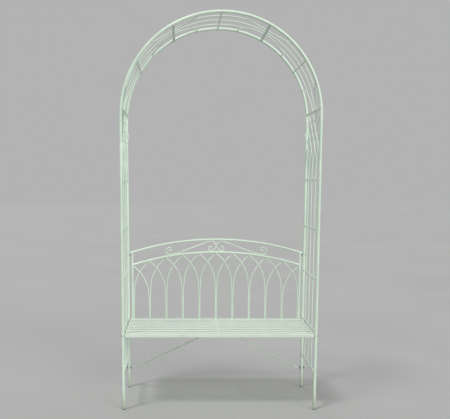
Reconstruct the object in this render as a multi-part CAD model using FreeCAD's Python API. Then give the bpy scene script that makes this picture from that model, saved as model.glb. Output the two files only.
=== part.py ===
import FreeCAD, Part
import math
import os

# Garden arch with a built-in bench: a round-topped frame of painted steel tube,
# gothic lattice sides, a slatted seat and a backrest of interlaced pointed arches.
#
# Millimetres. X runs along the bench, Y from the front to the back, Z up.
# The origin is on the ground, in the middle of the four feet.

V = FreeCAD.Vector
X_AXIS = V(1, 0, 0)
Y_AXIS = V(0, 1, 0)
Z_AXIS = V(0, 0, 1)

SIDES = {"left": -1, "right": 1}
FACES = {"front": -1, "rear": 1}

# --- driving dimensions ---------------------------------------------------------

HALF_WIDTH = 532.0          # post centre to the middle, along X; also the arch radius
HALF_DEPTH = 212.0          # post centre to the middle, along Y
SPRING_Z = 1610.0           # height where the posts start to curve into the arch
TUBE_R = 8.0                # posts and hoops
TUBE_WALL = 1.2
ROD_R = 3.0                 # lattice rods
RAIL_R = 4.0                # side rails and roof crossbars
BOTTOM_RAIL_R = 7.0
BOTTOM_RAIL_Z = 208.0
FOOT_CAP = 4.0              # thickness of the plug under each foot
FOOT_EDGE = 1.0
FOOT_STEM = 14.0

# The roof is three equal segments between four joints.
FIRST_JOINT = 4.0           # degrees above the spring line
SEGMENT = (180.0 - 2 * FIRST_JOINT) / 3
JOINTS = [FIRST_JOINT + SEGMENT * i for i in range(4)]
ROOF_NAMES = ["right", "top", "left"]
JOINT_BAR_R = 3.5
JOINT_BAR_OFFSET = 4.0      # each joint has one bar on either side of its seam
SPIGOT_REACH = 26.0         # how far a spigot reaches into each tube
JOINT_GAP = 0.5             # tubes and wires stop this far from a joint's seam
CURVE_ALONG = 148.0         # curved rods at the roof joints: reach along the hoop
CURVE_ACROSS = 158.0        # and across the roof
CURVE_STEPS = 12            # bends that make up a curved rod

# Side panels.
RAIL_HEIGHTS = [438.0, 730.0, 1002.0, 1274.0]
PANEL_PITCH = HALF_DEPTH / 2
PANEL_SPLIT_Z = 1380.0      # the double bars part here and curve over
PANEL_CURVE_R = 146.0
PANEL_CURVE_TURN = 47.0     # degrees from upright to the straight end
PANEL_STEPS = 4
PANEL_EASE = 60.0           # a rod starts to leave the panel's plane this far below
PANEL_ASIDE = 3.6           # how far the leaning rods pass beside the panel's plane
HOOP_CUT = 3.0              # degrees of hoop on each side of a bar that is cut to its round

# Seat.
SEAT_Z = 430.0
SEAT_HALF = 521.0
SEAT_RAIL_H = 18.0
SEAT_RAIL_D = 14.0
SEAT_WALL = 1.5
SEAT_CORNER = 1.5           # outside corner radius of the seat rails
PLUG_LENGTH = 18.0          # threaded plugs in the rails' ends
END_RAIL_W = 8.0
SLATS = 7
SLAT_W = 36.0
SLAT_T = 2.5
SLAT_EDGE = 1.0             # rounding of the slats' upper edges
CENTRE_BAR_W = 10.0

# Backrest.
BACK_RAIL_R = 6.0
BACK_WALL = 1.2
BACK_BOW = 1680.0           # radius of the two bowed rails
TOP_RAIL_Z = 916.0          # in the middle
RAIL_GAP = 77.0             # between the two rails' centre lines
TOP_RAIL_HALF = 519.0
STILE_X = 507.0
BACK_PITCH = 100.5
BACK_BARS = 4               # on each side of the middle one
ARCH_RISE = 189.0           # of the pointed arches
ARCH_STEPS = 4              # bends that make up one side of a pointed arch
ARCH_EASE = 40.0            # straight run below a pointed arch in which it leaves the plane

# Scrolls between the backrest's rails.
SCROLL_TAIL_R = 21.0        # outer curl
SCROLL_TAIL_X = 279.0
SCROLL_LIFT_R = 80.0        # the bend that lifts the rod off the lower rail
SCROLL_LIFT_X = 245.0
SCROLL_STAGES = [(1.0, 200.0), (0.5, 90.0), (0.36, 180.0)]  # share of a curl's radius, degrees

# Fixings.
BOLT_R = 3.0
BOLT_HEAD_R = 6.5
BOLT_HEAD_H = 4.0
BOLT_SHORT = 2.0            # a seat bolt ends this far before its plug does
BOLT_INTO_STILE = 3.0
SPACER_R = 4.5              # between the posts and the backrest's stiles
BRACE_R = 3.5
BRACE_TOP_X = 112.0         # where a brace leaves the front rail
BRACE_FOOT_X = 495.0        # where it bends to run out through the post
BRACE_Z = 124.0             # where it passes through the rear post
BRACE_BEND = 19.0           # longest part of a run that a bend may take
BRACE_TAIL = 18.0
NUT_FLATS = 13.0
NUT_H = 6.5
BRACE_WASHER_R = 8.0
BRACE_WASHER_T = 1.6
CLEAR = 0.3                 # gap round shanks in their holes
WELD_GAP = 0.1              # between crossing rods that are welded together

# --- derived --------------------------------------------------------------------

TUBE_BORE = TUBE_R - TUBE_WALL
POST_FACE = HALF_WIDTH - TUBE_R             # inner face of a post
OUTER_FACE = HALF_WIDTH + TUBE_R
PANEL_ROD_X = HALF_WIDTH - 4.0              # plane of the side panels' rods
PANEL_RAIL_X = PANEL_ROD_X + ROD_R + RAIL_R  # the rails pass outside the rods
WIRE_RADIUS = HALF_WIDTH + 2.0              # the roof's wires and curved rods
CROSSBAR_RADIUS = WIRE_RADIUS - ROD_R - RAIL_R - WELD_GAP
JOINT_BAR_RADIUS = WIRE_RADIUS - ROD_R - JOINT_BAR_R - WELD_GAP
WIRE_TURN = math.asin((HALF_DEPTH - PANEL_PITCH) / CURVE_ACROSS)  # where a wire meets a curved rod
SEAT_UNDER = SEAT_Z - SEAT_RAIL_H
SEAT_RAIL_INNER = HALF_DEPTH - SEAT_RAIL_D / 2  # inner face of the front and rear rails
LOWER_RAIL_Z = TOP_RAIL_Z - RAIL_GAP
SEAT_BOLT_Z = SEAT_Z - SEAT_RAIL_H / 2
BACK_BOLT_Z = 823.0


# --- shared shapes --------------------------------------------------------------

def cylinder(start, end, radius):
    """A round bar from one point to another."""
    axis = end - start
    return Part.makeCylinder(radius, axis.Length, start, axis)


def tube(start, end, radius, wall):
    """A round tube from one point to another, open at both ends."""
    return cylinder(start, end, radius).cut(cylinder(start, end, radius - wall))


def box(corner, size):
    return Part.makeBox(size.x, size.y, size.z, corner)


def hexagon_nut(centre, axis, flats, height, bore):
    """A hexagon nut with chamfered corners, its middle at centre."""
    start = centre - axis * (height / 2)
    corner_r = flats / math.sqrt(3)
    seed = V(0, 0, corner_r)
    turn = FreeCAD.Rotation(axis, 60)
    corners = [start + seed]
    for _ in range(6):
        seed = turn.multVec(seed)
        corners.append(start + seed)
    body = Part.Face(Part.makePolygon(corners)).extrude(axis * height)
    slope = height + corner_r - flats / 2
    lead = Part.makeCone(corner_r + height, flats / 2, slope, start - axis * (slope - height), axis)
    tail = Part.makeCone(flats / 2, corner_r + height, slope, start, axis)
    return body.common(lead).common(tail).cut(cylinder(start, start + axis * height, bore))


def washer(start, axis, outer, inner, thickness):
    return tube(start, start + axis * thickness, outer, outer - inner)


def dome_bolt(under_head, axis, length):
    """A domed head with its shank running from under_head along axis."""
    ball_r = (BOLT_HEAD_R ** 2 + BOLT_HEAD_H ** 2) / (2 * BOLT_HEAD_H)
    ball = Part.makeSphere(ball_r, under_head + axis * (ball_r - BOLT_HEAD_H))
    head = ball.common(cylinder(under_head - axis * BOLT_HEAD_H, under_head, BOLT_HEAD_R + 1.0))
    return head.fuse(cylinder(under_head, under_head + axis * length, BOLT_R)).removeSplitter()


def sweep(edges, radius):
    """A round bar along a smooth chain of edges."""
    path = Part.Wire(edges)
    first = edges[0]
    start = first.valueAt(first.FirstParameter)
    profile = Part.Wire(Part.makeCircle(radius, start, first.tangentAt(first.FirstParameter)))
    return path.makePipeShell([profile], True, False)


def rod(points, radius=ROD_R, longest_trim=1000.0):
    """A round bar of straight runs through the points, joined by tangent arcs.

    A bend takes up nearly half of the shorter run beside it, but not more than
    longest_trim of either."""
    edges = []
    here = points[0]
    for before, point, after in zip(points, points[1:], points[2:]):
        to_point = (point - before).normalize()
        onward = (after - point).normalize()
        trim = 0.45 * min(point.distanceToPoint(before), point.distanceToPoint(after))
        trim = min(trim, longest_trim)
        half_turn = to_point.getAngle(onward) / 2
        bend_r = trim / math.tan(half_turn)
        inward = (onward - to_point).normalize()
        arc_mid = point + inward * (bend_r / math.cos(half_turn) - bend_r)
        arc_start = point - to_point * trim
        arc_end = point + onward * trim
        edges.append(Part.makeLine(here, arc_start))
        edges.append(Part.Arc(arc_start, arc_mid, arc_end).toShape())
        here = arc_end
    edges.append(Part.makeLine(here, points[-1]))
    return sweep(edges, radius)


def group(solids):
    """Separate solids that share one node."""
    return Part.Compound(solids)


def largest(shape):
    """The biggest solid of a shape that a cut has left in several."""
    return max(shape.Solids, key=lambda solid: solid.Volume)


# --- posts and roof tubes -------------------------------------------------------

def arch_point(angle, y, radius=HALF_WIDTH):
    """A point on the arch, with the angle measured up from the right-hand spring."""
    turn = math.radians(angle)
    return V(radius * math.cos(turn), y, SPRING_Z + radius * math.sin(turn))


def arch_bar(y, start, end, radius, arch=HALF_WIDTH):
    """A round bar bent along the arch from one angle to another."""
    turn = math.radians(start)
    heading = V(-math.sin(turn), 0, math.cos(turn))
    face = Part.Face(Part.Wire(Part.makeCircle(radius, arch_point(start, y, arch), heading)))
    return face.revolve(V(0, y, SPRING_Z), V(0, -1, 0), end - start)


def arc_angle(length, radius=HALF_WIDTH):
    """The angle that a length along the arch takes up."""
    return math.degrees(length / radius)


def roof_tube(y, start, end):
    """A hoop's tube from one joint to the next, short of both seams."""
    start += arc_angle(JOINT_GAP)
    end -= arc_angle(JOINT_GAP)
    return arch_bar(y, start, end, TUBE_R).cut(arch_bar(y, start, end, TUBE_BORE))


def post_bar(side, y, radius):
    """A post without its bore: straight to the spring line, then bent to the joint."""
    x = side * HALF_WIDTH
    straight = cylinder(V(x, y, FOOT_CAP), V(x, y, SPRING_Z), radius)
    top = FIRST_JOINT - arc_angle(JOINT_GAP)
    if side > 0:
        bend = arch_bar(y, 0, top, radius)
    else:
        bend = arch_bar(y, 180 - top, 180, radius)
    return straight.fuse(bend).removeSplitter()


def post(side, face):
    """A post, drilled for the seat bolt and, at the rear, the backrest bolt and brace."""
    y = face * HALF_DEPTH
    holes = [(SEAT_BOLT_Z, BOLT_R + CLEAR)]
    if face > 0:
        holes.append((BACK_BOLT_Z, BOLT_R + CLEAR))
        holes.append((BRACE_Z, BRACE_R + CLEAR))
    shape = post_bar(side, y, TUBE_R).cut(post_bar(side, y, TUBE_BORE))
    for z, radius in holes:
        start = V(side * (POST_FACE - 1), y, z)
        end = V(side * (OUTER_FACE + 1), y, z)
        shape = shape.cut(cylinder(start, end, radius))
    return shape


def foot_cap(side, face):
    """A plug pressed into the foot of a post, with a rounded lower edge."""
    x = side * HALF_WIDTH
    y = face * HALF_DEPTH
    disc = cylinder(V(x, y, 0), V(x, y, FOOT_CAP), TUBE_R)
    rim = [edge for edge in disc.Edges if edge.BoundBox.ZMax < 1.0]
    disc = disc.makeFillet(FOOT_EDGE, rim)
    stem = cylinder(V(x, y, FOOT_CAP), V(x, y, FOOT_CAP + FOOT_STEM), TUBE_BORE)
    return disc.fuse(stem)


def spigot(angle, y):
    """The stub inside a joint that lines up its two tubes."""
    reach = arc_angle(SPIGOT_REACH)
    return arch_bar(y, angle - reach, angle + reach, TUBE_BORE)


def hoop_near(angle, y):
    """A short solid length of a hoop, to cut a bar's end to its round."""
    return arch_bar(y, angle - HOOP_CUT, angle + HOOP_CUT, TUBE_R)


def roof_bar(angle, radius, bar_r):
    """A bar across the roof from hoop to hoop."""
    start = arch_point(angle, -HALF_DEPTH, radius)
    end = arch_point(angle, HALF_DEPTH, radius)
    bar = cylinder(start, end, bar_r)
    return bar.cut(hoop_near(angle, -HALF_DEPTH)).cut(hoop_near(angle, HALF_DEPTH))


def joint_bars(angle):
    """The two bars on either side of a roof joint's seam."""
    offset = arc_angle(JOINT_BAR_OFFSET)
    return group([roof_bar(angle + way * offset, JOINT_BAR_RADIUS, JOINT_BAR_R) for way in (-1, 1)])


def curve_point(angle, way, face, turn):
    """A point of a quarter ellipse that is centred where a hoop passes a joint.

    The ellipse is rolled onto the arch. turn runs from 0 at the hoop to a right
    angle at the joint's bars."""
    along = max(CURVE_ALONG * math.cos(turn), JOINT_GAP)
    across = CURVE_ACROSS * math.sin(turn)
    where = angle + way * arc_angle(along, WIRE_RADIUS)
    return arch_point(where, face * (HALF_DEPTH - across), WIRE_RADIUS)


def roof_curve(angle, way, face):
    """A rod bent to a quarter ellipse, from a hoop to a joint's bars."""
    turns = [math.pi / 2 * step / CURVE_STEPS for step in range(CURVE_STEPS + 1)]
    hoop_angle = angle + way * arc_angle(CURVE_ALONG, WIRE_RADIUS)
    bar = rod([curve_point(angle, way, face, turn) for turn in turns])
    return bar.cut(hoop_near(hoop_angle, face * HALF_DEPTH))


def curve_at_wire(angle, way, face):
    """A short straight bar along a curved rod, where a wire meets it."""
    before = curve_point(angle, way, face, WIRE_TURN - 0.02)
    after = curve_point(angle, way, face, WIRE_TURN + 0.02)
    reach = (after - before).normalize() * (4 * ROD_R)
    middle = (before + after) / 2
    return cylinder(middle - reach, middle + reach, ROD_R + WELD_GAP)


def roof_wire(index, start, end):
    """A lengthwise wire of one roof segment.

    The middle one runs from joint to joint. The others stop at the curved rods."""
    stop = JOINT_GAP
    if index:
        stop = CURVE_ALONG * math.cos(WIRE_TURN)
    trim = arc_angle(stop, WIRE_RADIUS)
    shape = arch_bar(index * PANEL_PITCH, start + trim, end - trim, ROD_R, WIRE_RADIUS)
    if index:
        shape = shape.cut(curve_at_wire(start, 1, index))
        shape = shape.cut(curve_at_wire(end, -1, index))
    return largest(shape)


def roof_segment(name, start, end):
    curves = [roof_curve(start, 1, face) for face in (-1, 1)]
    curves += [roof_curve(end, -1, face) for face in (-1, 1)]
    wires = [roof_wire(index, start, end) for index in (-1, 0, 1)]
    return {
        "roof_tube_front_" + name: roof_tube(-HALF_DEPTH, start, end),
        "roof_tube_rear_" + name: roof_tube(HALF_DEPTH, start, end),
        "roof_wires_" + name: group(wires),
        "roof_curves_" + name: group(curves),
    }


def roof_crossbars():
    """The bar across the middle of each roof segment."""
    middles = [(start + end) / 2 for start, end in zip(JOINTS, JOINTS[1:])]
    return group([roof_bar(angle, CROSSBAR_RADIUS, RAIL_R) for angle in middles])


# --- side panels ----------------------------------------------------------------

def side_rail(side, z):
    """A rail outside the rods, its ends cut to the posts' round."""
    x = side * PANEL_RAIL_X
    shape = cylinder(V(x, -HALF_DEPTH, z), V(x, HALF_DEPTH, z), RAIL_R)
    return without_posts(shape, side)


def bottom_line(side):
    return [V(side * HALF_WIDTH, face * HALF_DEPTH, BOTTOM_RAIL_Z) for face in FACES.values()]


def side_bottom_rail(side):
    """The tube between the posts on which the upright rods stand."""
    return without_posts(tube(*bottom_line(side), BOTTOM_RAIL_R, TUBE_WALL), side)


def without_posts(shape, side):
    """Cut away whatever runs into the two posts of one side."""
    for y in (-HALF_DEPTH, HALF_DEPTH):
        shape = shape.cut(post_bar(side, y, TUBE_R))
    return largest(shape)


def panel_joint_bar(side):
    """The lower bar of the joint that closes a side panel, as its two ends."""
    angle = FIRST_JOINT - arc_angle(JOINT_BAR_OFFSET)
    ends = [arch_point(angle, face * HALF_DEPTH, JOINT_BAR_RADIUS) for face in FACES.values()]
    return [V(side * end.x, end.y, end.z) for end in ends]


def panel_rod(side, index, lean):
    """One rod of a side panel: half of a double bar, curved over at the top.

    lean is 1 towards the back and -1 towards the front. Rods that start at a post
    begin beside it, just under the top rail. The two families pass on either side
    of the panel's plane."""
    plane = side * PANEL_ROD_X
    aside = side * (PANEL_ROD_X - lean * PANEL_ASIDE)
    base = V(plane, index * PANEL_PITCH + lean * ROD_R, BOTTOM_RAIL_Z)
    if abs(index) == 2:
        base = V(plane, index * PANEL_PITCH + lean * (TUBE_R + ROD_R), RAIL_HEIGHTS[-1] - 2 * RAIL_R)
    joint_bar = panel_joint_bar(side)
    top_y = index * PANEL_PITCH + lean * 2 * PANEL_PITCH
    points = [base, V(plane, base.y, PANEL_SPLIT_Z - PANEL_EASE)]
    for step in range(1, PANEL_STEPS + 1):
        turn = math.radians(PANEL_CURVE_TURN * step / PANEL_STEPS)
        y = base.y + lean * PANEL_CURVE_R * (1 - math.cos(turn))
        points.append(V(aside, y, PANEL_SPLIT_Z + PANEL_CURVE_R * math.sin(turn)))
    points.append(V(aside, top_y, joint_bar[0].z))
    shape = rod(points)
    shape = shape.cut(cylinder(*joint_bar, JOINT_BAR_R))
    shape = shape.cut(cylinder(*bottom_line(side), BOTTOM_RAIL_R))
    shape = shape.cut(beyond_post(side, lean))
    return without_posts(shape, side)


def beyond_post(side, face):
    """The space past a post's middle, which no rod of its side panel enters."""
    length = 2 * HALF_DEPTH
    corner = V(side * HALF_WIDTH - PANEL_PITCH, face * HALF_DEPTH, PANEL_SPLIT_Z)
    if face < 0:
        corner.y -= length
    return box(corner, V(2 * PANEL_PITCH, length, length))


def side_panel(name, side):
    rails = [side_rail(side, z) for z in RAIL_HEIGHTS]
    to_back = [panel_rod(side, index, 1) for index in (-2, -1, 0, 1)]
    to_front = [panel_rod(side, index, -1) for index in (2, 1, 0, -1)]
    return {
        "side_bottom_rail_" + name: side_bottom_rail(side),
        "side_rails_" + name: group(rails),
        "side_rods_to_back_" + name: group(to_back),
        "side_rods_to_front_" + name: group(to_front),
    }


# --- seat -----------------------------------------------------------------------

def lengthwise_bar(y, z, half, depth, height, corner):
    """A rectangular bar along X with rounded long edges, its middle at y and z."""
    shape = box(V(-half, y - depth / 2, z - height / 2), V(2 * half, depth, height))
    long_edges = [edge for edge in shape.Edges if edge.Length > half]
    return shape.makeFillet(corner, long_edges)


def seat_rail(face):
    """A box-section rail between a left and a right post, open at the ends."""
    y = face * HALF_DEPTH
    shape = lengthwise_bar(y, SEAT_BOLT_Z, SEAT_HALF, SEAT_RAIL_D, SEAT_RAIL_H, SEAT_CORNER)
    bore_y = V(-SEAT_HALF, y - SEAT_RAIL_D / 2 + SEAT_WALL, SEAT_UNDER + SEAT_WALL)
    bore = box(bore_y, V(2 * SEAT_HALF, SEAT_RAIL_D - 2 * SEAT_WALL, SEAT_RAIL_H - 2 * SEAT_WALL))
    return shape.cut(bore)


def seat_end_rail(side):
    """A bar across one end of the seat, between the front and rear rails."""
    corner = V(side * (SEAT_HALF - END_RAIL_W / 2) - END_RAIL_W / 2, -SEAT_RAIL_INNER, SEAT_UNDER)
    return box(corner, V(END_RAIL_W, 2 * SEAT_RAIL_INNER, SEAT_RAIL_H))


def seat_centre_bar():
    """The bar across the middle of the seat, which carries the slats."""
    corner = V(-CENTRE_BAR_W / 2, -SEAT_RAIL_INNER, SEAT_UNDER)
    return box(corner, V(CENTRE_BAR_W, 2 * SEAT_RAIL_INNER, SEAT_RAIL_H - SLAT_T))


def seat_slat(number):
    """A flat slat from end rail to end rail, with rounded long edges."""
    pitch = 2 * SEAT_RAIL_INNER / SLATS
    y = -SEAT_RAIL_INNER + pitch * (number - 0.5) - SLAT_W / 2
    half = SEAT_HALF - END_RAIL_W
    shape = box(V(-half, y, SEAT_Z - SLAT_T), V(2 * half, SLAT_W, SLAT_T))
    long_top = [edge for edge in shape.Edges if edge.Length > half and edge.BoundBox.ZMin > SEAT_Z - 1]
    return shape.makeFillet(SLAT_EDGE, long_top)


def seat_nodes():
    shapes = {
        "seat_front_rail": seat_rail(-1),
        "seat_rear_rail": seat_rail(1),
        "seat_centre_bar": seat_centre_bar(),
    }
    for name, side in SIDES.items():
        shapes["seat_end_rail_" + name] = seat_end_rail(side)
    for number in range(1, SLATS + 1):
        shapes["seat_slat_%d" % number] = seat_slat(number)
    return shapes


def seat_fixings():
    """Bolts through the posts into threaded plugs in the seat rails, with spacers."""
    bolts = []
    spacers = []
    plugs = []
    for side in SIDES.values():
        inward = V(-side, 0, 0)
        for face in FACES.values():
            head = V(side * OUTER_FACE, face * HALF_DEPTH, SEAT_BOLT_Z)
            gap = V(side * POST_FACE, face * HALF_DEPTH, SEAT_BOLT_Z)
            length = OUTER_FACE - SEAT_HALF + PLUG_LENGTH - BOLT_SHORT
            bolts.append(dome_bolt(head, inward, length))
            spacers.append(washer(gap, inward, BOLT_HEAD_R, BOLT_R + CLEAR, POST_FACE - SEAT_HALF))
            shank = cylinder(head, head + inward * length, BOLT_R)
            plugs.append(seat_plug(side, face).cut(shank))
    return {"seat_bolts": group(bolts), "seat_spacers": group(spacers), "seat_plugs": group(plugs)}


def seat_plug(side, face):
    """The plug that fills one end of a seat rail."""
    depth = SEAT_RAIL_D - 2 * SEAT_WALL
    height = SEAT_RAIL_H - 2 * SEAT_WALL
    x = SEAT_HALF - PLUG_LENGTH if side > 0 else -SEAT_HALF
    corner = V(x, face * HALF_DEPTH - depth / 2, SEAT_BOLT_Z - height / 2)
    return box(corner, V(PLUG_LENGTH, depth, height))


# --- backrest -------------------------------------------------------------------

def bow_z(x, middle_z):
    """The height of a bowed rail's centre line at x."""
    return middle_z - BACK_BOW + math.sqrt(BACK_BOW ** 2 - x ** 2)


def bowed_bar(half, middle_z, radius):
    """A bowed round bar, from -half to half along X."""
    centre = V(0, HALF_DEPTH, middle_z - BACK_BOW)
    swing = math.asin(half / BACK_BOW)
    start = V(-half, HALF_DEPTH, bow_z(half, middle_z))
    heading = V(math.cos(swing), 0, math.sin(swing))
    face = Part.Face(Part.Wire(Part.makeCircle(radius, start, heading)))
    return face.revolve(centre, Y_AXIS, 2 * math.degrees(swing))


def bowed_tube(half, middle_z):
    bore = bowed_bar(half, middle_z, BACK_RAIL_R - BACK_WALL)
    return bowed_bar(half, middle_z, BACK_RAIL_R).cut(bore)


def without_stiles(shape):
    """Cut away whatever runs into the two stiles, and a weld's gap beyond."""
    for side in SIDES.values():
        foot = V(side * STILE_X, HALF_DEPTH, SEAT_Z)
        stile = cylinder(foot, foot + Z_AXIS * (TOP_RAIL_Z - SEAT_Z), BACK_RAIL_R + WELD_GAP)
        shape = shape.cut(stile)
    return largest(shape)


def backrest_stile(side):
    """An upright from the seat's rear rail to under the top rail."""
    foot = V(side * STILE_X, HALF_DEPTH, SEAT_Z)
    top = V(side * STILE_X, HALF_DEPTH, bow_z(STILE_X, TOP_RAIL_Z))
    shape = tube(foot, top, BACK_RAIL_R, BACK_WALL)
    shape = shape.cut(bowed_bar(TOP_RAIL_HALF, TOP_RAIL_Z, BACK_RAIL_R + WELD_GAP))
    bolt_end = V(side * STILE_X, HALF_DEPTH, BACK_BOLT_Z)
    hole = cylinder(bolt_end, bolt_end + X_AXIS * (side * 2 * BACK_RAIL_R), BOLT_R + CLEAR)
    return shape.cut(hole)


def arch_rod(index, lean):
    """Half of a pointed arch: up beside a bar, then over to the next bar's apex.

    lean is 1 to the right and -1 to the left. The two families pass in front of
    and behind the backrest's plane."""
    base_x = index * BACK_PITCH + lean * ROD_R
    if abs(index) > BACK_BARS:
        base_x = math.copysign(STILE_X - BACK_RAIL_R - ROD_R, index)
    apex_x = (index + lean) * BACK_PITCH
    apex_z = bow_z(apex_x, LOWER_RAIL_Z) - BACK_RAIL_R
    split_z = apex_z - ARCH_RISE
    span = abs(apex_x - base_x)
    sweep_r = (span ** 2 + ARCH_RISE ** 2) / (2 * span)
    depth = HALF_DEPTH + lean * ROD_R
    points = [V(base_x, HALF_DEPTH, SEAT_Z), V(base_x, HALF_DEPTH, split_z - ARCH_EASE)]
    full_turn = math.asin(ARCH_RISE / sweep_r)
    for step in range(1, ARCH_STEPS + 1):
        turn = full_turn * step / ARCH_STEPS
        x = base_x + lean * sweep_r * (1 - math.cos(turn))
        points.append(V(x, depth, split_z + sweep_r * math.sin(turn)))
    shape = rod(points).cut(bowed_bar(STILE_X, LOWER_RAIL_Z, BACK_RAIL_R))
    return without_stiles(shape)


def scroll(side):
    """A long S-shaped rod between the two rails, curled at both ends.

    From its outer curl it follows the lower rail, lifts off and runs straight to
    its inner curl, which touches both rails and its twin in the middle."""
    bow_centre = V(0, 0, LOWER_RAIL_Z - BACK_BOW)
    rest_r = BACK_BOW + BACK_RAIL_R + ROD_R + WELD_GAP
    tail_turn = math.pi / 2 + math.asin(SCROLL_TAIL_X / rest_r)
    lift_turn = math.pi / 2 + math.asin(SCROLL_LIFT_X / rest_r)
    tail_centre = around(bow_centre, rest_r + SCROLL_TAIL_R, tail_turn)
    lift_centre = around(bow_centre, rest_r + SCROLL_LIFT_R, lift_turn)
    head_r = RAIL_GAP / 2 - BACK_RAIL_R - ROD_R - WELD_GAP
    head_x = -(head_r + ROD_R + WELD_GAP)
    head_z = bow_centre.z + math.sqrt((rest_r + head_r) ** 2 - head_x ** 2)
    head_centre = V(head_x, 0, head_z)

    apart = head_centre - lift_centre
    cross = math.asin((head_r + SCROLL_LIFT_R) / apart.Length)
    run = math.atan2(apart.z, apart.x) + cross
    leave = around(lift_centre, SCROLL_LIFT_R, run - math.pi / 2)
    arrive = around(head_centre, head_r, run + math.pi / 2)

    tail = curl(tail_centre, SCROLL_TAIL_R, tail_turn - math.pi)
    edges = [edge.reversed() for edge in reversed(tail)]
    edges.append(arc(bow_centre, rest_r, tail_turn, lift_turn))
    edges.append(arc(lift_centre, SCROLL_LIFT_R, lift_turn - math.pi, run - math.pi / 2))
    edges.append(Part.makeLine(leave, arrive))
    edges += curl(head_centre, head_r, run + math.pi / 2)
    shape = sweep(edges, ROD_R)
    shape.translate(V(0, HALF_DEPTH, 0))
    if side > 0:
        shape = shape.mirror(V(0, 0, 0), X_AXIS)
    return shape


def around(centre, radius, turn):
    return centre + V(radius * math.cos(turn), 0, radius * math.sin(turn))


def arc(centre, radius, start, end):
    """An arc in an upright plane along X, from one turn to another."""
    points = [around(centre, radius, turn) for turn in (start, (start + end) / 2, end)]
    return Part.Arc(*points).toShape()


def curl(centre, radius, start):
    """Clockwise arcs of shrinking radius that continue each other, as a list of edges."""
    edges = []
    turn = start
    here = radius
    for share, degrees in SCROLL_STAGES:
        centre = centre + around(V(0, 0, 0), here - radius * share, turn)
        here = radius * share
        end = turn - math.radians(degrees)
        edges.append(arc(centre, here, turn, end))
        turn = end
    return edges


def backrest_fixings():
    """Bolts through the rear posts into the stiles, with a spacer in each gap."""
    bolts = []
    spacers = []
    for side in SIDES.values():
        inward = V(-side, 0, 0)
        head = V(side * OUTER_FACE, HALF_DEPTH, BACK_BOLT_Z)
        gap = V(side * POST_FACE, HALF_DEPTH, BACK_BOLT_Z)
        stile_face = STILE_X + BACK_RAIL_R
        bolts.append(dome_bolt(head, inward, OUTER_FACE - stile_face + BOLT_INTO_STILE))
        spacers.append(washer(gap, inward, SPACER_R, BOLT_R + CLEAR, POST_FACE - stile_face))
    return {"backrest_bolts": group(bolts), "backrest_spacers": group(spacers)}


def backrest_nodes():
    bars = range(-BACK_BARS, BACK_BARS + 1)
    shapes = {
        "backrest_top_rail": bowed_tube(TOP_RAIL_HALF, TOP_RAIL_Z),
        "backrest_lower_rail": without_stiles(bowed_tube(STILE_X, LOWER_RAIL_Z)),
        "backrest_rods_to_right": group([arch_rod(index, 1) for index in [-BACK_BARS - 1, *bars]]),
        "backrest_rods_to_left": group([arch_rod(index, -1) for index in [*bars, BACK_BARS + 1]]),
    }
    for name, side in SIDES.items():
        shapes["backrest_stile_" + name] = backrest_stile(side)
        shapes["backrest_scroll_" + name] = scroll(side)
    return shapes


# --- braces ---------------------------------------------------------------------

def brace(side):
    """A bent rod from the front rail's underside down to a rear post and through it."""
    end = V(side * (OUTER_FACE + BRACE_TAIL), HALF_DEPTH, BRACE_Z)
    foot = V(side * BRACE_FOOT_X, HALF_DEPTH, BRACE_Z)
    top = V(side * BRACE_TOP_X, -HALF_DEPTH, SEAT_UNDER)
    past_top = top + (top - foot).normalize() * SEAT_RAIL_D
    above_corner = V(-HALF_WIDTH, -2 * HALF_DEPTH, SEAT_UNDER)
    above = box(above_corner, V(2 * HALF_WIDTH, 2 * HALF_DEPTH, SEAT_RAIL_H))
    return rod([past_top, foot, end], BRACE_R, BRACE_BEND).cut(above)


def brace_fixings():
    """A washer and a nut on each side of the post where a brace passes through."""
    nuts = []
    washers = []
    for side in SIDES.values():
        for surface, way in ((POST_FACE, -1), (OUTER_FACE, 1)):
            axis = V(side * way, 0, 0)
            start = V(side * surface, HALF_DEPTH, BRACE_Z)
            washers.append(washer(start, axis, BRACE_WASHER_R, BRACE_R + CLEAR, BRACE_WASHER_T))
            middle = start + axis * (BRACE_WASHER_T + NUT_H / 2)
            nuts.append(hexagon_nut(middle, axis, NUT_FLATS, NUT_H, BRACE_R))
    return {"brace_nuts": group(nuts), "brace_washers": group(washers)}


# --- the whole arch -------------------------------------------------------------

def frame_nodes():
    shapes = {}
    for face_name, face in FACES.items():
        for side_name, side in SIDES.items():
            shapes["post_%s_%s" % (face_name, side_name)] = post(side, face)
    caps = [foot_cap(side, face) for side in SIDES.values() for face in FACES.values()]
    spigots = [spigot(angle, face * HALF_DEPTH) for angle in JOINTS for face in FACES.values()]
    shapes["foot_caps"] = group(caps)
    shapes["joint_spigots"] = group(spigots)
    for number, angle in enumerate(JOINTS, start=1):
        shapes["joint_bars_%d" % number] = joint_bars(angle)
    shapes["roof_crossbars"] = roof_crossbars()
    for name, start, end in zip(ROOF_NAMES, JOINTS, JOINTS[1:]):
        shapes.update(roof_segment(name, start, end))
    return shapes


def all_nodes():
    shapes = frame_nodes()
    for name, side in SIDES.items():
        shapes.update(side_panel(name, side))
    shapes.update(seat_nodes())
    shapes.update(seat_fixings())
    shapes.update(backrest_nodes())
    shapes.update(backrest_fixings())
    for name, side in SIDES.items():
        shapes["brace_" + name] = brace(side)
    shapes.update(brace_fixings())
    return shapes


def main():
    os.makedirs("parts", exist_ok=True)
    nodes = all_nodes()
    for name, shape in nodes.items():
        if not shape.isValid():
            print("invalid:", name)
        shape.exportStep("parts/%s.step" % name)
    print(len(nodes), "nodes,", sum(len(shape.Solids) for shape in nodes.values()), "solids")


main()
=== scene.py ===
import math

import bmesh
import bpy
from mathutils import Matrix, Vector, noise


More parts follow.
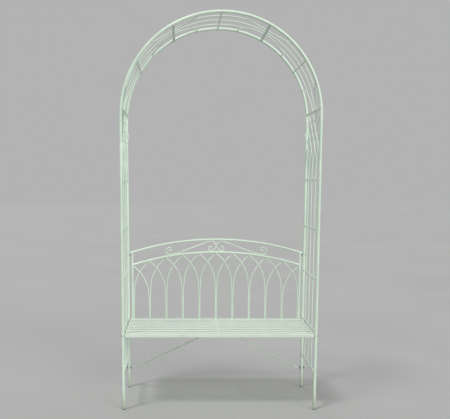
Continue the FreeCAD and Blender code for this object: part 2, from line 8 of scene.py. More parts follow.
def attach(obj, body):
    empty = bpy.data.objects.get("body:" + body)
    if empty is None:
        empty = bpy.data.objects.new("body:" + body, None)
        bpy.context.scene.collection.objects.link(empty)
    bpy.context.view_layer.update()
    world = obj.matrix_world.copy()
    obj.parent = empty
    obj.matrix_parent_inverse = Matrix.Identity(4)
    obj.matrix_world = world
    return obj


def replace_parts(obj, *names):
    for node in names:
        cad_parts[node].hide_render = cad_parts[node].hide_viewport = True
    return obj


# Looks of the garden arch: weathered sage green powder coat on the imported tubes,
# rods and slats, with weld beads, domed socket bolts and threads added.
# Metres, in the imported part's own frame: origin on the ground, +Y to the back.

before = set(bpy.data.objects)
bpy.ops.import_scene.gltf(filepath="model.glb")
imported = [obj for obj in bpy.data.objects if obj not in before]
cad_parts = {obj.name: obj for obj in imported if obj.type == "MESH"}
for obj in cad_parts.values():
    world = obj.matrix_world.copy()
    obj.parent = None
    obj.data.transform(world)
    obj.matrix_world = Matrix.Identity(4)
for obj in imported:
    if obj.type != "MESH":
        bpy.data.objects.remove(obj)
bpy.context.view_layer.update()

SIDES = (-1, 1)
X = Vector((1, 0, 0))
Y = Vector((0, 1, 0))
Z = Vector((0, 0, 1))

# --- sizes, as in the CAD part -----------------------------------------------------

HALF_WIDTH = 0.532
HALF_DEPTH = 0.212
SPRING_Z = 1.610
TUBE_R = 0.008
OUTER_FACE = 0.540           # of a post
ROD_R = 0.003
RAIL_R = 0.004
FIRST_JOINT = 4.0            # degrees above the spring line
SEGMENT = (180.0 - 2 * FIRST_JOINT) / 3
JOINTS = [FIRST_JOINT + SEGMENT * i for i in range(4)]
JOINT_BAR_R = 0.0035
JOINT_BAR_OFFSET = 0.004
WIRE_RADIUS = 0.534
CROSSBAR_RADIUS = WIRE_RADIUS - ROD_R - RAIL_R
JOINT_BAR_RADIUS = WIRE_RADIUS - ROD_R - JOINT_BAR_R
CURVE_ALONG = 0.148
CURVE_ACROSS = 0.158
BOTTOM_RAIL_R = 0.007
BOTTOM_RAIL_Z = 0.208
RAIL_HEIGHTS = (0.438, 0.730, 1.002, 1.274)
PANEL_PITCH = HALF_DEPTH / 2
WIRE_TURN = math.asin((HALF_DEPTH - PANEL_PITCH) / CURVE_ACROSS)  # where a wire meets a curved rod
PANEL_ROD_X = 0.528
PANEL_RAIL_X = PANEL_ROD_X + ROD_R + RAIL_R
PANEL_SPLIT_Z = 1.380
PANEL_CURVE_R = 0.146
PANEL_CURVE_TURN = 47.0      # degrees
PANEL_STEPS = 4
PANEL_ASIDE = 0.0036         # how far a leaning rod stands beside the panel's plane
SEAT_Z = 0.430
SEAT_UNDER = 0.412
SEAT_BOLT_Z = 0.421
SEAT_RAIL_INNER = 0.205
SEAT_SLAT_END = 0.513
CENTRE_BAR_HALF = 0.005
SLATS = 7
SLAT_T = 0.0025
BACK_RAIL_R = 0.006
BACK_BOW = 1.680
TOP_RAIL_Z = 0.916
LOWER_RAIL_Z = 0.839
STILE_X = 0.507
BACK_PITCH = 0.1005
ARCH_RISE = 0.189
ARCH_STEPS = 4
BACK_BARS = 4
SCROLL_HEAD_X = 0.0325
SCROLL_LIFT_X = 0.245
SCROLL_TAIL_X = 0.279
BACK_BOLT_Z = 0.823
SEAT_BOLT_LENGTH = 0.035
BACK_BOLT_LENGTH = 0.036
BRACE_Z = 0.124
BRACE_R = 0.0035
BRACE_TOP_X = 0.112
BRACE_FOOT_X = 0.495
THREAD_PITCH = 0.001
THREAD_SPANS = ((0.5485, 0.5572), (0.5120, 0.5156))  # along X, outside and inside the post

# Thickness of a weld bead at a bar or rail, at a rod, and at a stile.
BEAD = 0.0009
ROD_BEAD = 0.0008
STILE_BEAD = 0.0010


# --- materials -----------------------------------------------------------------------

class Shader:
    """A material, with short calls for the nodes that feed its Principled surface."""

    def __init__(self, name, values):
        self.material = bpy.data.materials.new(name)
        self.material.use_nodes = True
        self.nodes = self.material.node_tree.nodes
        self.links = self.material.node_tree.links
        self.surface = self.nodes["Principled BSDF"]
        self.place = self.nodes.new("ShaderNodeTexCoord").outputs["Object"]
        for socket, value in values.items():
            self.surface.inputs[socket].default_value = value

    def link(self, output, socket):
        self.links.new(output, socket)

    def stretched(self, scale):
        """The position, scaled along each axis."""
        node = self.nodes.new("ShaderNodeMapping")
        node.inputs["Scale"].default_value = scale
        self.link(self.place, node.inputs["Vector"])
        return node.outputs["Vector"]

    def noise(self, scale, detail=3.0, roughness=0.5, at=None):
        node = self.nodes.new("ShaderNodeTexNoise")
        node.inputs["Scale"].default_value = scale
        node.inputs["Detail"].default_value = detail
        node.inputs["Roughness"].default_value = roughness
        self.link(at or self.place, node.inputs["Vector"])
        return node.outputs["Fac"]

    def spread(self, value, low, high, to_low=0.0, to_high=1.0):
        """value between low and high, mapped to another range and clamped to it."""
        node = self.nodes.new("ShaderNodeMapRange")
        node.interpolation_type = "SMOOTHSTEP"
        for name, number in (("From Min", low), ("From Max", high), ("To Min", to_low), ("To Max", to_high)):
            node.inputs[name].default_value = number
        self.link(value, node.inputs["Value"])
        return node.outputs["Result"]

    def maths(self, operation, first, second):
        node = self.nodes.new("ShaderNodeMath")
        node.operation = operation
        for socket, value in zip(node.inputs, (first, second)):
            if isinstance(value, (int, float)):
                socket.default_value = value
            else:
                self.link(value, socket)
        return node.outputs["Value"]

    def mix(self, share, first, second):
        """A blend of two colours, each a colour or another node's output."""
        node = self.nodes.new("ShaderNodeMix")
        node.data_type = "RGBA"
        self.link(share, node.inputs["Factor"])
        for socket, colour in ((node.inputs["A"], first), (node.inputs["B"], second)):
            if isinstance(colour, tuple):
                socket.default_value = (*colour, 1.0)
            else:
                self.link(colour, socket)
        return node.outputs["Result"]

    def height(self):
        """How high the point is above the ground, in metres."""
        node = self.nodes.new("ShaderNodeSeparateXYZ")
        self.link(self.place, node.inputs["Vector"])
        return node.outputs["Z"]

    def facing_up(self):
        """From -1 for a surface that faces down to 1 for one that faces up."""
        geometry = self.nodes.new("ShaderNodeNewGeometry")
        node = self.nodes.new("ShaderNodeSeparateXYZ")
        self.link(geometry.outputs["Normal"], node.inputs["Vector"])
        return node.outputs["Z"]

    def colour(self, output):
        self.link(output, self.surface.inputs["Base Color"])

    def roughness(self, output):
        self.link(output, self.surface.inputs["Roughness"])

    def bumps(self, *layers):
        """Bumps on bumps, each (height, strength, depth in metres)."""
        below = None
        for height, strength, depth in layers:
            node = self.nodes.new("ShaderNodeBump")
            node.inputs["Strength"].default_value = strength
            node.inputs["Distance"].default_value = depth
            self.link(height, node.inputs["Height"])
            if below:
                self.link(below, node.inputs["Normal"])
            below = node.outputs["Normal"]
        self.link(below, self.surface.inputs["Normal"])


def powder_coat(name, pale, deep, worn, wear_from):
    """Satin powder coat: cloudy colour, orange peel, rubbed patches, splashed feet, and painted shade on
    down-facing surfaces broken up by streaky grime.
    """
    shader = Shader(name, {"Specular IOR Level": 0.5, "Coat Weight": 0.25, "Coat Roughness": 0.18})
    cloud = shader.spread(shader.noise(7.0, 4.0, 0.6), 0.32, 0.68)
    colour = shader.mix(cloud, pale, deep)
    fleck = shader.spread(shader.noise(520.0, 2.0), 0.55, 0.75, 0.0, 0.35)
    colour = shader.mix(fleck, colour, worn)
    rubbed = shader.spread(shader.noise(46.0, 6.0, 0.68), wear_from, wear_from + 0.05, 0.0, 0.8)
    colour = shader.mix(rubbed, colour, worn)
    dust = shader.maths("MULTIPLY", shader.spread(shader.facing_up(), 0.3, 1.0), cloud)
    colour = shader.mix(shader.maths("MULTIPLY", dust, 0.35), colour, (0.74, 0.75, 0.66))
    runs = shader.noise(30.0, 4.0, 0.6, shader.stretched((1.0, 1.0, 0.12)))
    streaks = shader.spread(runs, 0.5, 0.8)
    # Painted shade: down-facing surfaces are darkened toward (0.20, 0.24, 0.17), only where the vertical
    # grime streaks fall.
    facing_down_shade = shader.spread(shader.facing_up(), 0.2, -0.6)
    underside_shade_and_grime = shader.maths("MULTIPLY", streaks, facing_down_shade)
    colour = shader.mix(shader.maths("MULTIPLY", underside_shade_and_grime, 0.35), colour, (0.20, 0.24, 0.17))
    edge = shader.maths("ADD", shader.height(), shader.spread(runs, 0.2, 0.8, -0.05, 0.05))
    near_ground = shader.spread(edge, 0.13, 0.01)
    blotches = shader.spread(runs, 0.25, 0.7, 0.3, 0.8)
    splash = shader.maths("MULTIPLY", near_ground, blotches)
    shader.colour(shader.mix(splash, colour, (0.21, 0.22, 0.13)))
    satin = shader.spread(shader.noise(60.0, 5.0, 0.6), 0.3, 0.7, 0.34, 0.50)
    shader.roughness(shader.maths("ADD", satin, shader.maths("MULTIPLY", splash, 0.3)))
    peel = shader.noise(650.0, 1.5)
    slump = shader.noise(90.0, 2.0)
    shader.bumps((slump, 0.20, 0.0003), (peel, 0.25, 0.00015))
    return shader.material


def weathered_zinc():
    """Dull zinc plate with a mottled bloom and a little rust."""
    shader = Shader("weathered_zinc", {"Metallic": 0.85})
    bloom = shader.spread(shader.noise(240.0, 5.0, 0.65), 0.35, 0.65)
    colour = shader.mix(bloom, (0.24, 0.25, 0.26), (0.42, 0.43, 0.41))
    rust = shader.spread(shader.noise(150.0, 6.0, 0.7), 0.60, 0.68, 0.0, 0.85)
    shader.colour(shader.mix(rust, colour, (0.23, 0.10, 0.045)))
    shader.roughness(shader.spread(rust, 0.0, 1.0, 0.42, 0.78))
    shader.bumps((shader.noise(900.0, 4.0), 0.3, 0.0002), (rust, 0.4, 0.0002))
    return shader.material


def foot_plastic():
    """Black polyethylene with a fine moulded grain and dry mud."""
    shader = Shader("foot_plastic", {"Specular IOR Level": 0.4})
    mud = shader.spread(shader.noise(140.0, 5.0, 0.6), 0.45, 0.7, 0.0, 0.7)
    shader.colour(shader.mix(mud, (0.035, 0.037, 0.035), (0.16, 0.13, 0.09)))
    shader.roughness(shader.spread(mud, 0.0, 1.0, 0.55, 0.85))
    shader.bumps((shader.noise(1400.0, 2.0), 0.4, 0.0001))
    return shader.material


def studio_floor():
    """A plain pale matte floor."""
    shader = Shader("studio_floor", {"Specular IOR Level": 0.2})
    tone = shader.spread(shader.noise(0.8, 2.0), 0.3, 0.7)
    shader.colour(shader.mix(tone, (0.350, 0.353, 0.349), (0.369, 0.372, 0.368)))
    shader.roughness(shader.spread(tone, 0.0, 1.0, 0.85, 0.95))
    return shader.material


FRAME_PAINT = powder_coat(
    "sage_powder_coat",
    pale=(0.58, 0.69, 0.57),
    deep=(0.50, 0.62, 0.51),
    worn=(0.70, 0.77, 0.68),
    wear_from=0.66,
)
SEAT_PAINT = powder_coat(
    "seat_powder_coat",
    pale=(0.55, 0.64, 0.54),
    deep=(0.47, 0.57, 0.48),
    worn=(0.70, 0.75, 0.67),
    wear_from=0.60,
)
ZINC = weathered_zinc()
PLASTIC = foot_plastic()

HARDWARE = ("seat_bolts", "backrest_bolts", "brace_nuts", "brace_washers", "seat_plugs",
            "seat_spacers", "backrest_spacers")


def node_material(name):
    if name in HARDWARE:
        return ZINC
    if name == "foot_caps":
        return PLASTIC
    if name.startswith("seat_"):
        return SEAT_PAINT
    return FRAME_PAINT


for node_name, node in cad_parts.items():
    node.data.materials.clear()
    node.data.materials.append(node_material(node_name))


# --- meshes for the details ------------------------------------------------------------

def add_piece(name, mesh, material):
    """Turn a bmesh into a smooth piece that rides on the arch."""
    data = bpy.data.meshes.new(name)
    bmesh.ops.recalc_face_normals(mesh, faces=mesh.faces)
    mesh.to_mesh(data)
    mesh.free()
    for face in data.polygons:
        face.use_smooth = True
    data.materials.append(material)
    piece = bpy.data.objects.new(name, data)
    bpy.context.scene.collection.objects.link(piece)
    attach(piece, "root")
    return piece


def across(direction):
    """Two unit vectors square to a direction and to each other."""
    first = direction.orthogonal().normalized()
    return first, direction.cross(first).normalized()


def saddle(point, toward, radius, host, host_axis, host_radius, count=26):
    """The loop on which a round bar, running toward a round host, meets its surface."""
    side, up = across(toward)
    flat = toward - host_axis * toward.dot(host_axis)
    loop = []
    for step in range(count):
        turn = 2 * math.pi * step / count
        start = point + (side * math.cos(turn) + up * math.sin(turn)) * radius
        away = start - host
        away = away - host_axis * away.dot(host_axis)
        a = flat.dot(flat)
        b = 2 * away.dot(flat)
        c = away.dot(away) - host_radius ** 2
        inside = max(b * b - 4 * a * c, 0.0)
        loop.append(start + toward * ((-b - math.sqrt(inside)) / (2 * a)))
    return loop


def ring(centre, axis, radius, count=26):
    side, up = across(axis)
    turns = [2 * math.pi * step / count for step in range(count)]
    return [centre + (side * math.cos(turn) + up * math.sin(turn)) * radius for turn in turns]


def add_bead(mesh, loop, thickness):
    """A rippled weld bead along a closed loop."""
    corners = 7
    rings = []
    centre = sum(loop, Vector()) / len(loop)
    for index, point in enumerate(loop):
        ahead = (loop[(index + 1) % len(loop)] - loop[index - 1]).normalized()
        outward = point - centre
        outward = (outward - ahead * outward.dot(ahead)).normalized()
        up = ahead.cross(outward)
        ripple = 1.0 + 0.16 * math.cos(index * math.pi * 2 / 3.25)
        wander = 1.0 + 0.35 * noise.noise(point * 900.0)
        size = thickness * ripple * wander
        turns = [2 * math.pi * corner / corners for corner in range(corners)]
        spots = [point + (outward * math.cos(turn) + up * math.sin(turn)) * size for turn in turns]
        rings.append([mesh.verts.new(spot) for spot in spots])
    for index, here in enumerate(rings):
        after = rings[(index + 1) % len(rings)]
        for corner in range(corners):
            following = (corner + 1) % corners
            mesh.faces.new((here[corner], here[following], after[following], after[corner]))


def add_tack(mesh, centre, long_axis, short_axis, size):
    """A lumpy tack weld: a flattened blob, size is (length, width, height)."""
    third = long_axis.cross(short_axis).normalized()
    made = bmesh.ops.create_icosphere(mesh, subdivisions=2, radius=1.0)
    for vert in made["verts"]:
        shape = vert.co.copy()
        spot = centre + long_axis * (shape.x * size[0]) + third * (shape.y * size[1])
        spot += short_axis * (shape.z * size[2])
        lump = 0.22 * noise.noise(spot * 700.0)
        vert.co = centre + (spot - centre) * (1.0 + lump)


def arch_point(angle, y, radius=HALF_WIDTH):
    turn = math.radians(angle)
    return Vector((radius * math.cos(turn), y, SPRING_Z + radius * math.sin(turn)))


def arch_heading(angle):
    turn = math.radians(angle)
    return Vector((-math.sin(turn), 0, math.cos(turn)))


def arc_angle(length, radius=HALF_WIDTH):
    return math.degrees(length / radius)


def bow_z(x, middle_z):
    return middle_z - BACK_BOW + math.sqrt(BACK_BOW ** 2 - x ** 2)


# --- welds of the roof ------------------------------------------------------------------

def weld_bar_to_hoops(mesh, angle, radius, bar_r):
    for face in SIDES:
        start = arch_point(angle, 0, radius)
        hoop = arch_point(angle, face * HALF_DEPTH)
        loop = saddle(start, Y * face, bar_r, hoop, arch_heading(angle), TUBE_R)
        add_bead(mesh, loop, BEAD)


def curve_spot(angle, way, face, turn):
    """A point of a curved rod: from its hoop, at turn 0, to the joint."""
    along = max(CURVE_ALONG * math.cos(turn), 0.0005)
    where = angle + way * arc_angle(along, WIRE_RADIUS)
    return arch_point(where, face * (HALF_DEPTH - CURVE_ACROSS * math.sin(turn)), WIRE_RADIUS)


def weld_joint(mesh, angle):
    """The bars of one joint, and the wires and curves that cross them."""
    for way in SIDES:
        bar_angle = angle + way * arc_angle(JOINT_BAR_OFFSET)
        weld_bar_to_hoops(mesh, bar_angle, JOINT_BAR_RADIUS, JOINT_BAR_R)
        if not JOINTS[0] < bar_angle < JOINTS[-1]:
            continue
        outward = arch_point(bar_angle, 0, 1.0) - arch_point(bar_angle, 0, 0.0)
        for y in (-HALF_DEPTH + CURVE_ACROSS, 0, HALF_DEPTH - CURVE_ACROSS):
            spot = arch_point(bar_angle, y, WIRE_RADIUS - ROD_R)
            for side in SIDES:
                touch = spot + Y * (side * 0.0022)
                add_tack(mesh, touch, arch_heading(bar_angle), outward, (0.0018, 0.0009, 0.0010))


def weld_roof_segment(mesh, start, end):
    middle = (start + end) / 2
    weld_bar_to_hoops(mesh, middle, CROSSBAR_RADIUS, RAIL_R)
    outward = arch_point(middle, 0, 1.0) - arch_point(middle, 0, 0.0)
    for index in (-1, 0, 1):
        spot = arch_point(middle, index * PANEL_PITCH, WIRE_RADIUS - ROD_R)
        for side in SIDES:
            touch = spot + Y * (side * 0.0023)
            add_tack(mesh, touch, arch_heading(middle), outward, (0.0019, 0.0009, 0.0010))
    for angle, way in ((start, 1), (end, -1)):
        for face in SIDES:
            foot = curve_spot(angle, way, face, 0.0)
            near = curve_spot(angle, way, face, 0.06)
            hoop_angle = angle + way * arc_angle(CURVE_ALONG, WIRE_RADIUS)
            hoop = arch_point(hoop_angle, face * HALF_DEPTH)
            toward = (foot - near).normalized()
            loop = saddle(near - toward * 0.01, toward, ROD_R, hoop, arch_heading(hoop_angle), TUBE_R, 20)
            add_bead(mesh, loop, ROD_BEAD)
            meeting = curve_spot(angle, way, face, WIRE_TURN)
            meeting_angle = angle + way * arc_angle(CURVE_ALONG * math.cos(WIRE_TURN), WIRE_RADIUS)
            wire = arch_heading(meeting_angle) * way
            radial = (meeting - Vector((0, meeting.y, SPRING_Z))).normalized()
            add_tack(mesh, meeting + wire * 0.0030, wire, radial, (0.0014, 0.0026, 0.0017))


def weld_roof():
    mesh = bmesh.new()
    for angle in JOINTS:
        weld_joint(mesh, angle)
    for start, end in zip(JOINTS, JOINTS[1:]):
        weld_roof_segment(mesh, start, end)
    add_piece("welds_roof", mesh, FRAME_PAINT)


# --- welds of the side panels --------------------------------------------------------------

def panel_line(index, lean):
    """The curved part of a side rod up to the joint bar, as (y, z) points."""
    start = index * PANEL_PITCH + lean * ROD_R
    if abs(index) == 2:
        start = index * PANEL_PITCH + lean * (TUBE_R + ROD_R)
    points = []
    for step in range(PANEL_STEPS + 1):
        turn = math.radians(PANEL_CURVE_TURN * step / PANEL_STEPS)
        y = start + lean * PANEL_CURVE_R * (1 - math.cos(turn))
        points.append((y, PANEL_SPLIT_Z + PANEL_CURVE_R * math.sin(turn)))
    joint_z = arch_point(FIRST_JOINT - arc_angle(JOINT_BAR_OFFSET), 0, JOINT_BAR_RADIUS).z
    points.append((index * PANEL_PITCH + lean * 2 * PANEL_PITCH, joint_z))
    return points


def crossing(first, second):
    """Where two straight pieces of a flat outline cross, or None."""
    (a, b), (c, d) = first, second
    run = (b[0] - a[0], b[1] - a[1])
    other = (d[0] - c[0], d[1] - c[1])
    area = run[0] * other[1] - run[1] * other[0]
    if abs(area) < 1e-12:
        return None
    gap = (c[0] - a[0], c[1] - a[1])
    share = (gap[0] * other[1] - gap[1] * other[0]) / area
    share_other = (gap[0] * run[1] - gap[1] * run[0]) / area
    if 0 <= share <= 1 and 0 <= share_other <= 1:
        return (a[0] + run[0] * share, a[1] + run[1] * share)
    return None


def line_crossings(first_line, second_line):
    """Every point where two lines of straight pieces cross."""
    spots = []
    for first in zip(first_line, first_line[1:]):
        for second in zip(second_line, second_line[1:]):
            spot = crossing(first, second)
            if spot:
                spots.append(spot)
    return spots


def panel_crossings():
    """Where the two families of side rods cross between the posts, as (y, z) points."""
    spots = []
    for back_index in (-2, -1, 0, 1):
        for front_index in (2, 1, 0, -1):
            back_line = panel_line(back_index, 1)
            front_line = panel_line(front_index, -1)
            spots += line_crossings(back_line, front_line)
    return [spot for spot in spots if abs(spot[0]) < HALF_DEPTH - TUBE_R]


def weld_side(name, side):
    mesh = bmesh.new()
    for face in SIDES:
        post = Vector((side * HALF_WIDTH, face * HALF_DEPTH, 0))
        for z in RAIL_HEIGHTS:
            start = Vector((side * PANEL_RAIL_X, 0, z))
            add_bead(mesh, saddle(start, Y * face, RAIL_R, post, Z, TUBE_R), BEAD)
        start = Vector((side * HALF_WIDTH, 0, BOTTOM_RAIL_Z))
        add_bead(mesh, saddle(start, Y * face, BOTTOM_RAIL_R, post, Z, TUBE_R, 34), 0.0011)
    bottom = Vector((side * HALF_WIDTH, 0, BOTTOM_RAIL_Z))
    for index in (-1, 0, 1):
        for lean in SIDES:
            y = index * PANEL_PITCH + lean * ROD_R
            foot = Vector((side * PANEL_ROD_X, y, 0.25))
            add_bead(mesh, saddle(foot, -Z, ROD_R, bottom, Y, BOTTOM_RAIL_R, 20), ROD_BEAD)
            for z in RAIL_HEIGHTS:
                for up in SIDES:
                    touch = Vector((side * (PANEL_ROD_X + ROD_R), y, z + up * 0.0024))
                    add_tack(mesh, touch, Y, X * side, (0.0022, 0.0011, 0.0012))
    for y, z in panel_crossings():
        for way in SIDES:
            touch = Vector((side * PANEL_ROD_X, y, z + way * 0.0026))
            add_tack(mesh, touch, Y, X, (0.0018, 0.0012, 0.0011))
    bar_angle = FIRST_JOINT - arc_angle(JOINT_BAR_OFFSET)
    bar = arch_point(bar_angle, 0, JOINT_BAR_RADIUS)
    for lean in SIDES:
        for rod_end in (0, lean * PANEL_PITCH):
            x = side * (PANEL_ROD_X - lean * PANEL_ASIDE)
            touch = Vector((x, rod_end - lean * 0.004, bar.z - JOINT_BAR_R + 0.0006))
            add_tack(mesh, touch, Y, Z, (0.0055, 0.0034, 0.0012))
    add_piece("welds_side_" + name, mesh, FRAME_PAINT)


# --- welds of the backrest and the seat -----------------------------------------------------

def arch_line(index, lean):
    """One side of a pointed arch of the backrest, as (x, z) points."""
    base_x = index * BACK_PITCH + lean * ROD_R
    if abs(index) > BACK_BARS:
        base_x = math.copysign(STILE_X - BACK_RAIL_R - ROD_R, index)
    apex_x = (index + lean) * BACK_PITCH
    split_z = bow_z(apex_x, LOWER_RAIL_Z) - BACK_RAIL_R - ARCH_RISE
    span = abs(apex_x - base_x)
    sweep_r = (span ** 2 + ARCH_RISE ** 2) / (2 * span)
    full_turn = math.asin(ARCH_RISE / sweep_r)
    points = [(base_x, split_z)]
    for step in range(1, ARCH_STEPS + 1):
        turn = full_turn * step / ARCH_STEPS
        x = base_x + lean * sweep_r * (1 - math.cos(turn))
        points.append((x, split_z + sweep_r * math.sin(turn)))
    return points


def weld_stile(mesh, side):
    """The beads at a stile's foot, at the lower rail's end and under the top rail."""
    inner_x = 0.46
    outer_x = 0.51
    bead_r = BACK_RAIL_R - 0.0002
    stile = Vector((side * STILE_X, HALF_DEPTH, 0))
    add_bead(mesh, ring(stile + Z * SEAT_Z, Z, BACK_RAIL_R, 30), 0.0012)
    rail_end = Vector((side * inner_x, HALF_DEPTH, bow_z(inner_x, LOWER_RAIL_Z)))
    rise = bow_z(outer_x, LOWER_RAIL_Z) - bow_z(inner_x, LOWER_RAIL_Z)
    slope = Vector((side * (outer_x - inner_x), 0, rise)).normalized()
    add_bead(mesh, saddle(rail_end, slope, bead_r, stile, Z, BACK_RAIL_R, 30), STILE_BEAD)
    top = Vector((0, HALF_DEPTH, bow_z(STILE_X, TOP_RAIL_Z)))
    lean = Vector((1, 0, -side * STILE_X / BACK_BOW)).normalized()
    host = top + X * (side * STILE_X)
    start = Vector((side * STILE_X, HALF_DEPTH, top.z - 0.05))
    add_bead(mesh, saddle(start, Z, bead_r, host, lean, BACK_RAIL_R, 30), STILE_BEAD)


def weld_backrest():
    mesh = bmesh.new()
    seat_top = Vector((0, HALF_DEPTH, SEAT_Z))
    for side in SIDES:
        weld_stile(mesh, side)
    for index in range(-BACK_BARS, BACK_BARS + 1):
        for lean in SIDES:
            foot = seat_top + X * (index * BACK_PITCH + lean * ROD_R)
            add_bead(mesh, ring(foot, Z, ROD_R, 20), ROD_BEAD)
        x = index * BACK_PITCH
        under = Vector((x, HALF_DEPTH, bow_z(x, LOWER_RAIL_Z) - BACK_RAIL_R - 0.0006))
        for way in SIDES:
            touch = under + X * (way * 0.0018) + Y * (way * 0.0016)
            add_tack(mesh, touch, X, Z, (0.0038, 0.0026, 0.0013))
    for index in range(-BACK_BARS - 1, BACK_BARS + 1):
        for x, z in line_crossings(arch_line(index, 1), arch_line(index + 1, -1)):
            for way in SIDES:
                touch = Vector((x, HALF_DEPTH, z + way * 0.0024))
                add_tack(mesh, touch, X, Y, (0.0018, 0.0013, 0.0011))
    weld_scrolls(mesh)
    add_piece("welds_backrest", mesh, FRAME_PAINT)


def weld_scrolls(mesh):
    """Tacks where the scrolls touch the two rails and each other."""
    for side in SIDES:
        for x in (SCROLL_HEAD_X, SCROLL_LIFT_X, SCROLL_TAIL_X):
            z = bow_z(x, LOWER_RAIL_Z) + BACK_RAIL_R
            slope = Vector((1, 0, -side * x / BACK_BOW)).normalized()
            for way in SIDES:
                touch = Vector((side * x, HALF_DEPTH + way * 0.0012, z))
                add_tack(mesh, touch, slope, Z, (0.0030, 0.0011, 0.0010))
        under = bow_z(SCROLL_HEAD_X, TOP_RAIL_Z) - BACK_RAIL_R
        for way in SIDES:
            touch = Vector((side * SCROLL_HEAD_X, HALF_DEPTH + way * 0.0012, under))
            add_tack(mesh, touch, X, Z, (0.0030, 0.0011, 0.0010))
    middle = (TOP_RAIL_Z + LOWER_RAIL_Z) / 2
    for way in SIDES:
        touch = Vector((0, HALF_DEPTH + way * 0.0014, middle))
        add_tack(mesh, touch, Z, X, (0.0034, 0.0012, 0.0010))


def weld_seat():
    """Tacks under the slats, beads in the seat's corners and at the braces' tops."""
    mesh = bmesh.new()
    pitch = 2 * SEAT_RAIL_INNER / SLATS
    slat_under = SEAT_Z - SLAT_T
    corner_z = 0.420
    for number in range(SLATS):
        y = -SEAT_RAIL_INNER + pitch * (number + 0.5)
        for side in SIDES:
            for offset in (-0.011, 0.011):
                end = Vector((side * SEAT_SLAT_END, y + offset, slat_under))
                add_tack(mesh, end, Y, Z, (0.0065, 0.0022, 0.0014))
                middle = Vector((side * CENTRE_BAR_HALF, y + offset, slat_under))
                add_tack(mesh, middle, Y, Z, (0.0055, 0.0018, 0.0013))
    for face in SIDES:
        for x in (-SEAT_SLAT_END, -CENTRE_BAR_HALF, CENTRE_BAR_HALF, SEAT_SLAT_END):
            corner = Vector((x, face * SEAT_RAIL_INNER, corner_z))
            add_tack(mesh, corner, Z, Y, (0.0060, 0.0016, 0.0016))
    for side in SIDES:
        top = Vector((side * BRACE_TOP_X, -HALF_DEPTH, SEAT_UNDER))
        foot = Vector((side * BRACE_FOOT_X, HALF_DEPTH, BRACE_Z))
        along = (top - foot).normalized()
        loop = [spot + along * ((SEAT_UNDER - spot.z) / along.z) for spot in ring(top, along, BRACE_R)]
        add_bead(mesh, loop, BEAD)
    add_piece("welds_seat", mesh, SEAT_PAINT)


# --- fixings ------------------------------------------------------------------------------------

def add_rings(mesh, rows):
    """A skin over rows of points, each row a closed loop, with both ends filled."""
    made = [[mesh.verts.new(point) for point in row] for row in rows]
    for here, after in zip(made, made[1:]):
        count = len(here)
        for index in range(count):
            following = (index + 1) % count
            mesh.faces.new((here[index], here[following], after[following], after[index]))
    mesh.faces.new(made[0])
    mesh.faces.new(list(reversed(made[-1])))


def hexagon_radius(turn, flats):
    """The distance from a hexagon's middle to its side in one direction."""
    return flats / 2 / math.cos(turn % (math.pi / 3) - math.pi / 6)


def add_dome_bolt(mesh, under_head, inward, length):
    """A button-head bolt with a hexagon socket, its shank pointing inward."""
    side, up = across(inward)
    corners = 48
    turns = [2 * math.pi * step / corners for step in range(corners)]
    shank_r = 0.0029
    head_r = 0.0064
    brim = 0.0007
    dome_h = 0.0031
    dome_inset = 0.0034
    socket = 0.0040

    def circle(depth, radius):
        centre = under_head + inward * depth
        return [centre + (side * math.cos(turn) + up * math.sin(turn)) * radius for turn in turns]

    def hexagon(depth, flats):
        centre = under_head + inward * depth
        reach = [hexagon_radius(turn, flats) for turn in turns]
        return [centre + (side * math.cos(t) + up * math.sin(t)) * r for t, r in zip(turns, reach)]

    rows = [circle(length, 0.0024), circle(length - 0.0006, shank_r), circle(0.0002, shank_r)]
    rows += [circle(0.0, 0.0061), circle(-0.0003, head_r), circle(-brim, head_r)]
    for share in (0.2, 0.4, 0.6, 0.8):
        turn = share * math.pi / 2
        rows.append(circle(-brim - dome_h * math.sin(turn), head_r - dome_inset * (1 - math.cos(turn))))
    rows += [circle(-0.0039, 0.0029), hexagon(-0.0038, 0.0043), hexagon(-0.0035, socket)]
    rows += [hexagon(-0.0015, socket), hexagon(-0.0012, 0.0030)]
    add_rings(mesh, rows)


def bolts():
    """Domed bolts in place of the CAD part's plain ones."""
    mesh = bmesh.new()
    for side in SIDES:
        for face in SIDES:
            head = Vector((side * OUTER_FACE, face * HALF_DEPTH, SEAT_BOLT_Z))
            add_dome_bolt(mesh, head, X * -side, SEAT_BOLT_LENGTH)
    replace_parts(add_piece("seat_bolts_domed", mesh, ZINC), "seat_bolts")
    mesh = bmesh.new()
    for side in SIDES:
        head = Vector((side * OUTER_FACE, HALF_DEPTH, BACK_BOLT_Z))
        add_dome_bolt(mesh, head, X * -side, BACK_BOLT_LENGTH)
    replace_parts(add_piece("backrest_bolts_domed", mesh, ZINC), "backrest_bolts")


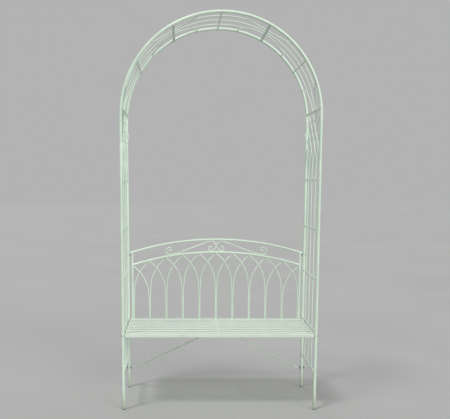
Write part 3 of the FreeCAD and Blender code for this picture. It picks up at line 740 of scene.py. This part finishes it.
def brace_threads():
    """The thread that shows on each brace, outside and inside the post."""
    mesh = bmesh.new()
    steps = 24
    half = THREAD_PITCH * 0.36
    inner = BRACE_R - 0.0002
    for side in SIDES:
        for start, end in THREAD_SPANS:
            total = int((end - start) / THREAD_PITCH * steps)
            rows = []
            for step in range(total + 1):
                turn = 2 * math.pi * step / steps
                fade = min(step, total - step, steps) / steps
                x = start + THREAD_PITCH * step / steps
                around = Vector((0, math.cos(turn), math.sin(turn)))
                centre = Vector((side * x, HALF_DEPTH, BRACE_Z))
                crest = BRACE_R + 0.00028 * fade
                rows.append([
                    mesh.verts.new(centre + around * inner - X * half),
                    mesh.verts.new(centre + around * crest),
                    mesh.verts.new(centre + around * inner + X * half),
                ])
            for here, after in zip(rows, rows[1:]):
                for index in range(3):
                    following = (index + 1) % 3
                    mesh.faces.new((here[index], here[following], after[following], after[index]))
            mesh.faces.new(rows[0])
            mesh.faces.new(list(reversed(rows[-1])))
    add_piece("brace_threads", mesh, ZINC)


weld_roof()
weld_side("left", -1)
weld_side("right", 1)
weld_backrest()
weld_seat()
bolts()
brace_threads()


# --- camera, floor and light ---------------------------------------------------------------------

def add_camera():
    data = bpy.data.cameras.new("camera")
    data.sensor_width = 36.0
    data.lens = 55.33
    data.shift_x = 0.096
    data.shift_y = 0.130
    data.clip_end = 200.0
    camera = bpy.data.objects.new("camera", data)
    camera.location = (-0.2074, -3.9462, 1.2810)
    camera.rotation_euler = (math.radians(90.0 - 7.383), 0.0, 0.0)
    bpy.context.scene.collection.objects.link(camera)
    bpy.context.scene.camera = camera


def add_floor():
    mesh = bmesh.new()
    bmesh.ops.create_grid(mesh, x_segments=8, y_segments=8, size=30.0)
    data = bpy.data.meshes.new("floor")
    mesh.to_mesh(data)
    mesh.free()
    data.materials.append(studio_floor())
    floor = bpy.data.objects.new("floor", data)
    bpy.context.scene.collection.objects.link(floor)


def add_soft_sun(name, toward_light, strength, softness):
    """Even light from one side, with shadows blurred by softness in degrees."""
    data = bpy.data.lights.new(name, "SUN")
    data.energy = strength
    data.angle = math.radians(softness)
    light = bpy.data.objects.new(name, data)
    light.rotation_euler = Vector(toward_light).to_track_quat("Z", "Y").to_euler()
    bpy.context.scene.collection.objects.link(light)


def add_light():
    world = bpy.data.worlds.new("studio")
    world.use_nodes = True
    background = world.node_tree.nodes["Background"]
    background.inputs["Color"].default_value = (0.447, 0.452, 0.447, 1.0)
    background.inputs["Strength"].default_value = 1.0
    bpy.context.scene.world = world
    add_soft_sun("key", (-0.55, -0.50, 1.30), 1.6, 12.0)
    add_soft_sun("fill", (0.70, -1.00, 0.45), 2.1, 40.0)
    add_soft_sun("back", (-0.40, 1.00, 0.80), 0.5, 40.0)
    bpy.context.scene.view_settings.view_transform = "Standard"


add_camera()
add_floor()
add_light()
